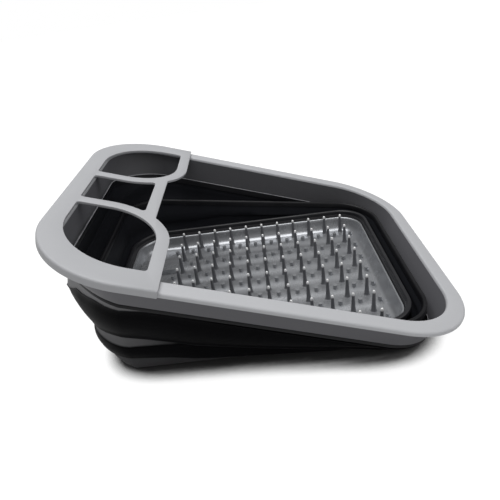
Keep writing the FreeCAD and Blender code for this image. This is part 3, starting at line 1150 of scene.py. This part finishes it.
@dataclass(frozen=True)
class LowerPath:
    """The lower wall's section: from the base ridge down, round its low turn and up to the hoop.

    Seat and turn insets are measured from the base's outline, the others from the rim's. The
    strip's table gives the share of the outer panel that its strip takes.
    """

    steps: Tuple[int, int, int, int] = (3, 6, 7, 2)
    seat_inset: float = 1.2
    seat_z: float = 26.7
    seat_cut: float = 3.5
    turn_inset: float = 1.0
    turn_top_z: float = 26.2
    turn_low: float = 1.6
    turn_cut: float = 4.0
    flank_inset: float = 36.4
    flank_rise: float = 2.0
    flank_cut: float = 5.0
    top_inset: float = 32.4
    top_depth: float = 6.2
    top_cut: float = 3.5
    ledge_out: float = -0.4
    lip_share: float = 0.03
    lip_out: float = 0.7
    bulge: float = 1.3
    sag: Profile = (
        (-150.0, 1.0), (-112.0, 3.5), (-85.0, 2.5), (-45.0, -1.5), (40.0, -1.5), (150.0, 0.0),
    )
    strip: Profile = ((-110.0, 0.62), (-80.0, 0.55), (-40.0, 0.35))

    def points(self, station: int) -> List[Vector]:
        """The section at one station.

        Args:
            station: which of the outlines' stations.

        Returns:
            The section's points, from its seat to its top.
        """
        out = outward(station)
        flat = BASE_OUTLINE.at(self.seat_inset, station)
        seat = LEVEL @ Vector((flat[0], flat[1], self.seat_z * MM))
        lift = Vector((0, 0, between(along(seat), self.sag) * MM))
        share = between(along(seat), self.strip)
        seat = cut_back(seat, self.seat_cut)
        turn = LOWER_TURN.point(BASE_OUTLINE.at(self.turn_inset, station))
        turn.z = min(turn.z + lift.z, self.turn_top_z * MM)
        turn = cut_back(turn, self.turn_cut)
        flat = RIM_OUTLINE.at(self.flank_inset, station)
        flank = LOWER_TURN.point(flat, -self.flank_rise * MM) + lift
        flank = cut_back(flank, self.flank_cut)
        flat = RIM_OUTLINE.at(self.top_inset, station)
        top = cut_back(HOOP_PLANE.point(flat, self.top_depth * MM), self.top_cut)
        ledge = top + (flank - top) * share + out * (self.ledge_out * MM)
        lip = top + (flank - top) * (share + self.lip_share) + out * (self.lip_out * MM)
        inner, round_turn, outer, upper = self.steps
        return [
            seat,
            *eased(seat, turn, inner, Vector()),
            *rolled(flank, turn, self.turn_low * MM, round_turn),
            flank,
            *eased(flank, lip, outer, out * (self.bulge * MM)),
            ledge,
            *eased(ledge, top, upper, Vector()),
        ]


@dataclass
class FoldWall:
    """One soft wall of three lengths: an inner panel, a low turn and an outer panel.

    A wall is made of two pieces. The roll runs from the inner seat round the low turn to a
    seam near the top, and the strip runs from the seam to the upper seat. The strip's last
    levels carry a painted sheen that makes them paler, most at the raised end.
    """

    name: str
    node: str
    finishes: Finishes
    inner_body: Bodies
    fold_body: Bodies
    outer_body: Bodies
    path: Callable[[int], List[Vector]]
    seam: int
    # How many levels carry the painted sheen, how strong it is and how it fades along the rack.
    painted_sheen_levels: int
    painted_sheen_share: float = 1.0
    painted_sheen_fade: Profile = ((-118.0, 1.0), (-95.0, 0.7), (-60.0, 0.2), (0.0, 0.0))
    wall: float = 1.3
    inside_limit: float = -0.05
    smooth_angle: float = 50.0

    @staticmethod
    def length_shares(points: Sequence[Vector]) -> List[float]:
        """Shares of a path's length.

        Args:
            points: the path.

        Returns:
            The share at each point, from 0 to 1.
        """
        lengths = [0.0]
        for before, after in zip(points, points[1:]):
            lengths.append(lengths[-1] + (after - before).length)
        return [length / lengths[-1] for length in lengths]

    def skin(self, name: str, paths: List[List[Vector]], painted_sheen_levels: int) -> Piece:
        """A closed band from paths that stand side by side.

        Args:
            name: the piece's name.
            paths: one path per station, all of one count.
            painted_sheen_levels: how many of its last levels carry the painted sheen.

        Returns:
            The band, with its path_share and painted sheen values on its corners.
        """
        count = len(paths)
        levels = len(paths[0])
        Bench.clear()
        bpy.ops.mesh.primitive_grid_add(x_subdivisions=count, y_subdivisions=levels - 1, size=1)
        piece = bpy.context.object
        piece.name = name
        path_shares = [self.length_shares(points) for points in paths]
        shares: List[float] = []
        places: List[float] = []
        pale: List[float] = []
        for level in range(levels):
            for column in range(count + 1):
                station = column % count
                point = paths[station][level]
                places.extend(point)
                shares.append(path_shares[station][level])
                # Painted sheen: the last levels are marked paler, fading along the rack.
                fade = between(along(point), self.painted_sheen_fade) * self.painted_sheen_share
                pale.append(fade if level >= levels - painted_sheen_levels else 0.0)
        piece.data.vertices.foreach_set("co", places)
        for label, values in (("path_share", shares), ("stretched", pale)):
            attribute = piece.data.attributes.new(label, "FLOAT", "POINT")
            attribute.data.foreach_set("value", values)
        piece.data.update()
        Bench.tidy_normals(piece, WALL_WELD_REACH)
        return piece

    def hang(self, piece: Piece, lower: Bodies, upper: Bodies) -> None:
        """Reads a piece's path shares and bakes its place into its mesh.

        Args:
            piece: the piece, with path_share on its corners.
            lower: not used.
            upper: not used.
        """
        shares = [0.0] * len(piece.data.vertices)
        piece.data.attributes["path_share"].data.foreach_get("value", shares)
        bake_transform(piece)

    def part_sides(self, piece: Piece) -> None:
        """Keeps the painted sheen on the wall's outside, and marks its inside.

        Args:
            piece: the closed piece, its normals outward.
        """
        # The new attribute comes first, because making one can move the others' values.
        inside = piece.data.attributes.new("inside", "FLOAT", "POINT").data
        pale = piece.data.attributes["stretched"].data
        for vertex in piece.data.vertices:
            reach_x = (vertex.co.x - BASE_SHIFT) / RIM_OUTLINE.half_x
            reach_y = vertex.co.y / RIM_OUTLINE.half_y
            facing = vertex.normal.x * reach_x + vertex.normal.y * reach_y
            if facing < self.inside_limit:
                pale[vertex.index].value = 0.0
                inside[vertex.index].value = 1.0

    def build(self) -> None:
        """Makes the wall's roll and strip."""
        paths = [self.path(station) for station in range(len(RIM_OUTLINE.stations()))]
        roll = self.skin(self.name + "_roll", [line[: self.seam + 1] for line in paths], 0)
        high = [line[self.seam :] for line in paths]
        strip = self.skin(self.name + "_strip", high, self.painted_sheen_levels)
        for piece in (roll, strip):
            Bench.thicken(piece, self.wall, False)
            Bench.tidy_normals(piece)
            self.part_sides(piece)
            Bench.smooth(piece, self.smooth_angle)
            Bench.dress(piece, self.finishes.wall)
        self.hang(roll, self.inner_body, self.fold_body)
        self.hang(strip, self.fold_body, self.outer_body)
        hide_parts(self.node)


@dataclass
class Hoop:
    """The stiff ridge between the two soft walls."""

    finishes: Finishes
    profile: Profile = (
        (30.0, -6.0), (30.0, -2.4), (30.3, -1.1), (30.9, -0.3), (31.9, 0.0), (32.9, -0.2),
        (33.8, -0.9), (34.3, -2.0), (34.5, -6.0),
    )
    segments: int = 24
    corner_cut: float = 3.0
    smooth_angle: float = 50.0

    def build(self) -> None:
        """Makes the hoop."""
        hoop = Bench.bead("middle_hoop_ridge", RIM_OUTLINE, self.profile, self.segments)
        Bench.smooth(hoop, self.smooth_angle)
        Bench.settle(hoop, HOOP_PLANE.matrix())
        Bench.cut_corners(hoop, lambda height: self.corner_cut)
        Bench.dress(hoop, self.finishes.hoop)
        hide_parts("middle_hoop")
        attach(hoop, Bodies.MIDDLE.value)


@dataclass
class Base:
    """Base ridge, base wall, drain pan, feet and plug."""

    finishes: Finishes
    segments: int = 20
    ridge_profile: Profile = (
        (0.0, 27.0), (0.0, 30.2), (0.3, 31.1), (0.9, 31.7), (1.8, 32.0), (3.0, 32.0),
        (3.8, 31.6), (4.3, 30.9), (4.5, 29.8), (4.5, 27.0),
    )
    wall_profile: Profile = (
        (3.2, 27.0), (3.9, 21.0), (4.6, 15.0), (5.8, 10.5), (7.4, 6.6), (9.2, 4.0),
        (11.2, 2.5), (13.0, 2.0), (18.0, 2.0), (25.0, 2.0),
    )
    wall_thickness: float = 2.0
    corner_cut: float = 3.5
    foot_cut: float = 5.0
    rounding: float = 0.5
    moulded_angle: float = 34.0

    def wall_cut(self, height: float) -> float:
        """How far the wall's corners are drawn in, more towards its foot.

        Args:
            height: height over the table, in millimetres.

        Returns:
            The amount in millimetres.
        """
        top, foot = self.wall_profile[0][1], self.wall_profile[-1][1]
        fall = (top - height) / (top - foot)
        return self.corner_cut + (self.foot_cut - self.corner_cut) * fall

    def moulded(self, node: str, material: Material) -> Piece:
        """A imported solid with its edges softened.

        Args:
            node: the solid's node.
            material: its finish.

        Returns:
            The dressed piece.
        """
        piece = Bench.traced(node)
        Bench.soften(piece, self.rounding)
        Bench.smooth(piece, self.moulded_angle)
        Bench.dress(piece, material)
        return piece

    def build(self) -> None:
        """Makes the base's own pieces."""
        ridge = Bench.bead("base_ridge_band", BASE_OUTLINE, self.ridge_profile, self.segments)
        Bench.smooth(ridge)
        Bench.settle(ridge, LEVEL)
        Bench.cut_corners(ridge, lambda height: self.corner_cut)
        Bench.dress(ridge, self.finishes.ridge)
        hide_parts("base_ridge")
        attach(ridge, Bodies.BASE.value)

        wall = Bench.ring("base_wall_shell", BASE_OUTLINE, self.wall_profile, self.segments)
        Bench.take(wall)
        Bench.edit()
        bpy.ops.mesh.flip_normals()
        Bench.done()
        Bench.thicken(wall, self.wall_thickness)
        Bench.smooth(wall)
        Bench.settle(wall, LEVEL)
        Bench.cut_corners(wall, self.wall_cut)
        Bench.dress(wall, self.finishes.base)
        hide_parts("base_wall")
        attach(wall, Bodies.BASE.value)

        for node, material in (
            ("drain_pan", self.finishes.base),
            ("foot_front_left", self.finishes.plug),
            ("foot_front_right", self.finishes.plug),
            ("foot_rear_left", self.finishes.plug),
            ("foot_rear_right", self.finishes.plug),
        ):
            piece = self.moulded(node, material)
            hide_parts(node)
            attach(piece, Bodies.BASE.value)

        plug = self.moulded("drain_plug", self.finishes.plug)
        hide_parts("drain_plug")
        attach(plug, Bodies.PLUG.value)


@dataclass
class PegPlate:
    """The tray with its waved floor, drain holes and pegs."""

    finishes: Finishes
    segments: int = 20
    cove_profile: Profile = (
        (6.1, 22.6), (6.1, 24.0), (6.5, 24.5), (7.3, 24.5), (8.0, 24.0), (8.6, 22.4),
        (9.3, 19.6), (10.3, 16.6), (11.7, 13.8), (13.4, 11.7), (15.2, 10.5), (17.0, 10.0),
        (19.0, 9.9),
    )
    cove_wall: float = 1.8
    cove_cut: float = 2.0
    cove_foot: float = 9.0
    cove_height: float = 12.0
    floor_half: Pair = (128.6, 98.1)
    floor_corner: float = 22.0
    floor_top: float = 10.0
    floor_depth: float = 1.9
    floor_cells: Tuple[int, int] = (110, 96)
    trim: float = 0.05
    pitch: Pair = (19.7, 27.6)
    grid_centre: float = 17.0
    columns: int = 11
    rows: int = 8
    wave: float = 1.6
    left_fade: float = 10.0
    right_fade: float = 8.0
    right_gap: float = 4.0
    side_fade: float = 8.0
    hole_radius: float = 2.2
    hole_vertices: int = 18
    tool_foot: float = 4.0
    tool_height: float = 12.0
    window: Tuple[float, float, float, float] = (-109.5, 55.2, 45.0, 27.0)
    window_corner: float = 4.0
    window_segments: int = 6
    peg_profile: Profile = (
        (3.3, 0.0), (2.75, 0.5), (2.5, 1.6), (1.85, 12.0), (1.4, 20.6), (1.4, 22.6),
        (1.1, 23.4), (0.6, 23.9), (0.2, 24.0),
    )
    peg_vertices: int = 12
    peg_angle: float = 50.0

    def grid(self, columns: int, rows: int) -> List[Pair]:
        """Places of an even grid at the pegs' pitch, about the middle of the peg field.

        Args:
            columns: how many places along the rack.
            rows: how many across it.

        Returns:
            The places in millimetres, row by row from the front.
        """
        return [
            (
                self.grid_centre + (column - (columns - 1) / 2) * self.pitch[0],
                (row - (rows - 1) / 2) * self.pitch[1],
            )
            for row in range(rows)
            for column in range(columns)
        ]

    def height(self, x: float, y: float) -> float:
        """The floor's wave at a point, in millimetres from the middle of the base.

        Args:
            x: along the rack.
            y: to the rear.

        Returns:
            The height over the flat floor.
        """
        rise = 0.5 + 0.5 * math.cos(2 * math.pi / self.pitch[1] * y)
        half = (self.columns + 1) * 0.5 * self.pitch[0]
        left = held((x - (self.grid_centre - half)) / self.left_fade)
        right = held((self.grid_centre + half - self.right_gap - x) / self.right_fade)
        side = held((self.floor_half[1] - abs(y)) / self.side_fade)
        return self.wave * rise * min(left, right) * side

    def block(self, name: str, outline: Outline, segments: int) -> Piece:
        """A cutting tool with rounded corners that stands right through the floor.

        Args:
            name: its name.
            outline: its rounded rectangle.
            segments: steps round each corner.

        Returns:
            The tool.
        """
        tool = Bench.plate(name, outline, self.tool_foot * MM, segments)
        Bench.raise_up(self.tool_height * MM)
        Bench.done()
        Bench.tidy_normals(tool)
        return tool

    def window_cut(self) -> Piece:
        """The tool that cuts the window over the drain.

        Returns:
            The tool, in the base's own place.
        """
        x, y, length, width = self.window
        outline = Outline(0.5 * length * MM, 0.5 * width * MM, self.window_corner * MM)
        tool = self.block("window_cut", outline, self.window_segments)
        Bench.settle(tool, Matrix.Translation((x * MM, y * MM, 0)))
        return tool

    def drills(self) -> List[Piece]:
        """The tools that cut the drain holes, between the pegs and clear of the window.

        Returns:
            The tools, in the base's own place.
        """
        window_x, window_y, length, width = self.window
        made = []
        for x, y in self.grid(self.columns + 1, self.rows - 1):
            near_x = abs(x - window_x) < 0.5 * length + self.hole_radius
            near_y = abs(y - window_y) < 0.5 * width + self.hole_radius
            if near_x and near_y:
                continue
            Bench.clear()
            bpy.ops.mesh.primitive_cylinder_add(
                vertices=self.hole_vertices,
                radius=self.hole_radius * MM,
                depth=self.tool_height * MM,
                location=(x * MM, y * MM, self.floor_top * MM),
            )
            made.append(bpy.context.object)
        return made

    def floor(self) -> Piece:
        """The waved floor, trimmed to rounded corners and drilled.

        Returns:
            The floor, in the base's own place.
        """
        half_x, half_y = self.floor_half
        cells_x, cells_y = self.floor_cells
        Bench.clear()
        bpy.ops.mesh.primitive_grid_add(x_subdivisions=cells_x, y_subdivisions=cells_y, size=2)
        sheet = bpy.context.object
        sheet.name = "peg_plate_floor"
        places: List[float] = []
        for vertex in sheet.data.vertices:
            x = vertex.co.x * half_x
            y = vertex.co.y * half_y
            places.extend((x * MM, y * MM, (self.floor_top + self.height(x, y)) * MM))
        sheet.data.vertices.foreach_set("co", places)
        sheet.data.update()
        Bench.thicken(sheet, self.floor_depth)
        outline = Outline(half_x * MM, half_y * MM, self.floor_corner * MM).inset(self.trim * MM)
        Bench.cut(sheet, self.block("floor_trim", outline, self.segments), Keep.INSIDE)
        drills = self.drills()
        Bench.cut(sheet, Bench.join([self.window_cut()] + drills, "floor_drill"), Keep.OUTSIDE)
        return sheet

    def cove(self) -> Piece:
        """The tray's rounded edge, with its part of the window cut out.

        Returns:
            The edge, in the base's own place.
        """
        cove = Bench.ring("peg_plate_cove", BASE_OUTLINE, self.cove_profile, self.segments)
        Bench.thicken(cove, self.cove_wall)
        for vertex in cove.data.vertices:
            share = held((vertex.co.z / MM - self.cove_foot) / self.cove_height)
            amount = self.cove_cut * MM * share
            vertex.co.x, vertex.co.y = drawn_in(vertex.co.x, vertex.co.y, amount)
        Bench.cut(cove, self.window_cut(), Keep.OUTSIDE)
        return cove

    def peg(self) -> Piece:
        """One peg, drawn up step by step from its foot.

        Returns:
            The peg, standing on the origin.
        """
        Bench.clear()
        bpy.ops.mesh.primitive_circle_add(
            vertices=self.peg_vertices, radius=self.peg_profile[0][0] * MM, fill_type="NGON"
        )
        piece = bpy.context.object
        Bench.edit()
        for before, after in zip(self.peg_profile, self.peg_profile[1:]):
            Bench.raise_up((after[1] - before[1]) * MM)
            Bench.scale(after[0] / before[0], after[0] / before[0])
        Bench.done()
        Bench.tidy_normals(piece)
        return piece

    def build(self) -> None:
        """Makes the tray and its pegs."""
        cove = self.cove()
        tray = Bench.join([cove, self.floor()], "peg_plate_tray")
        Bench.smooth(tray)
        Bench.settle(tray, LEVEL)
        Bench.dress(tray, self.finishes.plate)
        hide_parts("peg_plate")
        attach(tray, Bodies.BASE.value)

        master = self.peg()
        pegs = []
        for x, y in self.grid(self.columns, self.rows):
            Bench.take(master)
            bpy.ops.object.duplicate(linked=False)
            copy = bpy.context.object
            copy.location = (x * MM, y * MM, self.floor_top * MM)
            pegs.append(copy)
        bpy.data.objects.remove(master, do_unlink=True)
        joined = Bench.join(pegs, "plate_pegs_moulding")
        Bench.settle(joined, LEVEL)
        Bench.smooth(joined, self.peg_angle)
        Bench.dress(joined, self.finishes.pegs)
        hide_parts("plate_pegs")
        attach(joined, Bodies.BASE.value)


@dataclass
class UtensilFrame:
    """The frame of bars that hooks over the raised end of the rim."""

    finishes: Finishes
    rounding: float = 0.35

    def build(self) -> None:
        """Makes the frame."""
        frame = Bench.traced("utensil_frame")
        Bench.soften(frame, self.rounding)
        Bench.smooth(frame)
        Bench.dress(frame, self.finishes.frame)
        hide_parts("utensil_frame")
        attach(frame, Bodies.UTENSIL.value)


@dataclass(frozen=True)
class SoftBox:
    """A lamp with its place, the point it faces and its size, in metres, and its watts."""

    name: str
    place: Point
    aim: Point
    size: Pair
    power: float

    def hang(self) -> None:
        """Hangs the lamp."""
        Bench.clear()
        turn = (Vector(self.aim) - Vector(self.place)).to_track_quat("-Z", "Y").to_euler()
        bpy.ops.object.light_add(type="AREA", location=self.place, rotation=turn)
        lamp = bpy.context.object
        lamp.name = self.name
        lamp.data.shape = "RECTANGLE"
        lamp.data.size, lamp.data.size_y = self.size
        lamp.data.energy = self.power


@dataclass
class Studio:
    """Camera, pale floor and soft lights, in metres and degrees."""

    camera_place: Point = (4.87 * MM, -432.16 * MM, 302.15 * MM)
    camera_turn: Point = (59.899, 6.866, -1.804)
    lens: float = 33.98
    sensor_width: float = 36.0
    clip: Pair = (0.01, 50.0)
    floor_radius: float = 6.0
    floor_vertices: int = 96
    floor_roughness: float = 0.9
    floor_gloss: float = 0.1
    floor_grey: Tint = (0.8, 0.8, 0.8, 1)
    floor_grey_seen: Tint = (0.12, 0.12, 0.12, 1)
    shadow_reach: float = 0.032
    shadow_samples: int = 16
    shadow_stops: Profile = ((0.4, 0.0), (0.66, 1.0))
    room_light: float = 0.3
    backdrop_light: float = 1.0
    soft_boxes: Tuple[SoftBox, ...] = (
        SoftBox("key_light", (-0.15, 0.05, 1.25), (0, 0, 0.05), (1.2, 1.0), 13.0),
        SoftBox("right_light", (1.1, -0.3, 0.9), (0, 0, 0.05), (0.9, 0.9), 3.0),
    )

    def camera(self) -> None:
        """Sets up the camera at the photograph's angle."""
        Bench.clear()
        turn = tuple(math.radians(angle) for angle in self.camera_turn)
        bpy.ops.object.camera_add(location=self.camera_place, rotation=turn)
        camera = bpy.context.object
        camera.name = "photo_camera"
        camera.data.lens = self.lens
        camera.data.sensor_width = self.sensor_width
        camera.data.clip_start, camera.data.clip_end = self.clip
        bpy.context.scene.camera = camera

    def floor(self) -> None:
        """Lays the pale floor, white to the camera apart from the rack's contact shadow."""
        Bench.clear()
        bpy.ops.mesh.primitive_circle_add(
            vertices=self.floor_vertices, radius=self.floor_radius, fill_type="NGON"
        )
        floor = bpy.context.object
        floor.name = "studio_floor"
        sheet = Sheet("studio_floor_finish")
        rays = sheet.node("ShaderNodeLightPath", {}, {})
        seen = Signal(sheet, rays.outputs["Is Camera Ray"])
        settings = {"samples": self.shadow_samples}
        # Painted shadow: what the camera sees of the floor's glow is dimmed where ambient occlusion
        # finds the rack close by.
        near = sheet.node("ShaderNodeAmbientOcclusion", settings, {"Distance": self.shadow_reach})
        white = sheet.ramp(Signal(sheet, near.outputs["AO"]), self.shadow_stops)
        sheet.feed("Base Color", sheet.blend(seen, self.floor_grey, self.floor_grey_seen))
        sheet.feed("Roughness", self.floor_roughness)
        sheet.feed("Specular IOR Level", self.floor_gloss)
        sheet.feed("Emission Strength", 1.0)
        sheet.feed("Emission Color", sheet.blend(white * seen, BLACK, WHITE))
        Bench.dress(floor, sheet.material)

    def world(self) -> None:
        """Fills the room with even pale light, white where the camera looks."""
        world = bpy.data.worlds.new("studio_world")
        bpy.context.scene.world = world
        world.use_nodes = True
        nodes = world.node_tree.nodes
        links = world.node_tree.links
        nodes.clear()
        output = nodes.new("ShaderNodeOutputWorld")
        background = nodes.new("ShaderNodeBackground")
        rays = nodes.new("ShaderNodeLightPath")
        strength = nodes.new("ShaderNodeMix")
        strength.data_type = "FLOAT"
        strength.inputs[2].default_value = self.room_light
        strength.inputs[3].default_value = self.backdrop_light
        background.inputs["Color"].default_value = WHITE
        links.new(rays.outputs["Is Camera Ray"], strength.inputs[0])
        links.new(strength.outputs[0], background.inputs["Strength"])
        links.new(background.outputs[0], output.inputs[0])

    def build(self) -> None:
        """Sets up floor, lamps and world."""
        self.floor()
        for soft_box in self.soft_boxes:
            soft_box.hang()
        self.world()
        bpy.context.scene.view_settings.view_transform = "Standard"


def main() -> None:
    """Builds the rack's pieces in order and reports each one."""
    logging.basicConfig(level=logging.INFO, format="%(message)s")
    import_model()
    studio = Studio()
    studio.camera()
    finishes = Finishes()
    Rim(finishes).build()
    FoldWall(
        name="upper_wall",
        node="upper_fold_wall",
        finishes=finishes,
        inner_body=Bodies.MIDDLE,
        fold_body=Bodies.UPPER_FOLD,
        outer_body=Bodies.RIM,
        path=UpperPath().points,
        seam=18,
        painted_sheen_levels=2,
    ).build()
    Hoop(finishes).build()
    FoldWall(
        name="lower_wall",
        node="lower_fold_wall",
        finishes=finishes,
        inner_body=Bodies.BASE,
        fold_body=Bodies.LOWER_FOLD,
        outer_body=Bodies.MIDDLE,
        path=LowerPath().points,
        seam=15,
        painted_sheen_levels=3,
        painted_sheen_share=0.72,
    ).build()
    Base(finishes).build()
    PegPlate(finishes).build()
    UtensilFrame(finishes).build()
    studio.build()


if __name__ == "__main__":
    main()
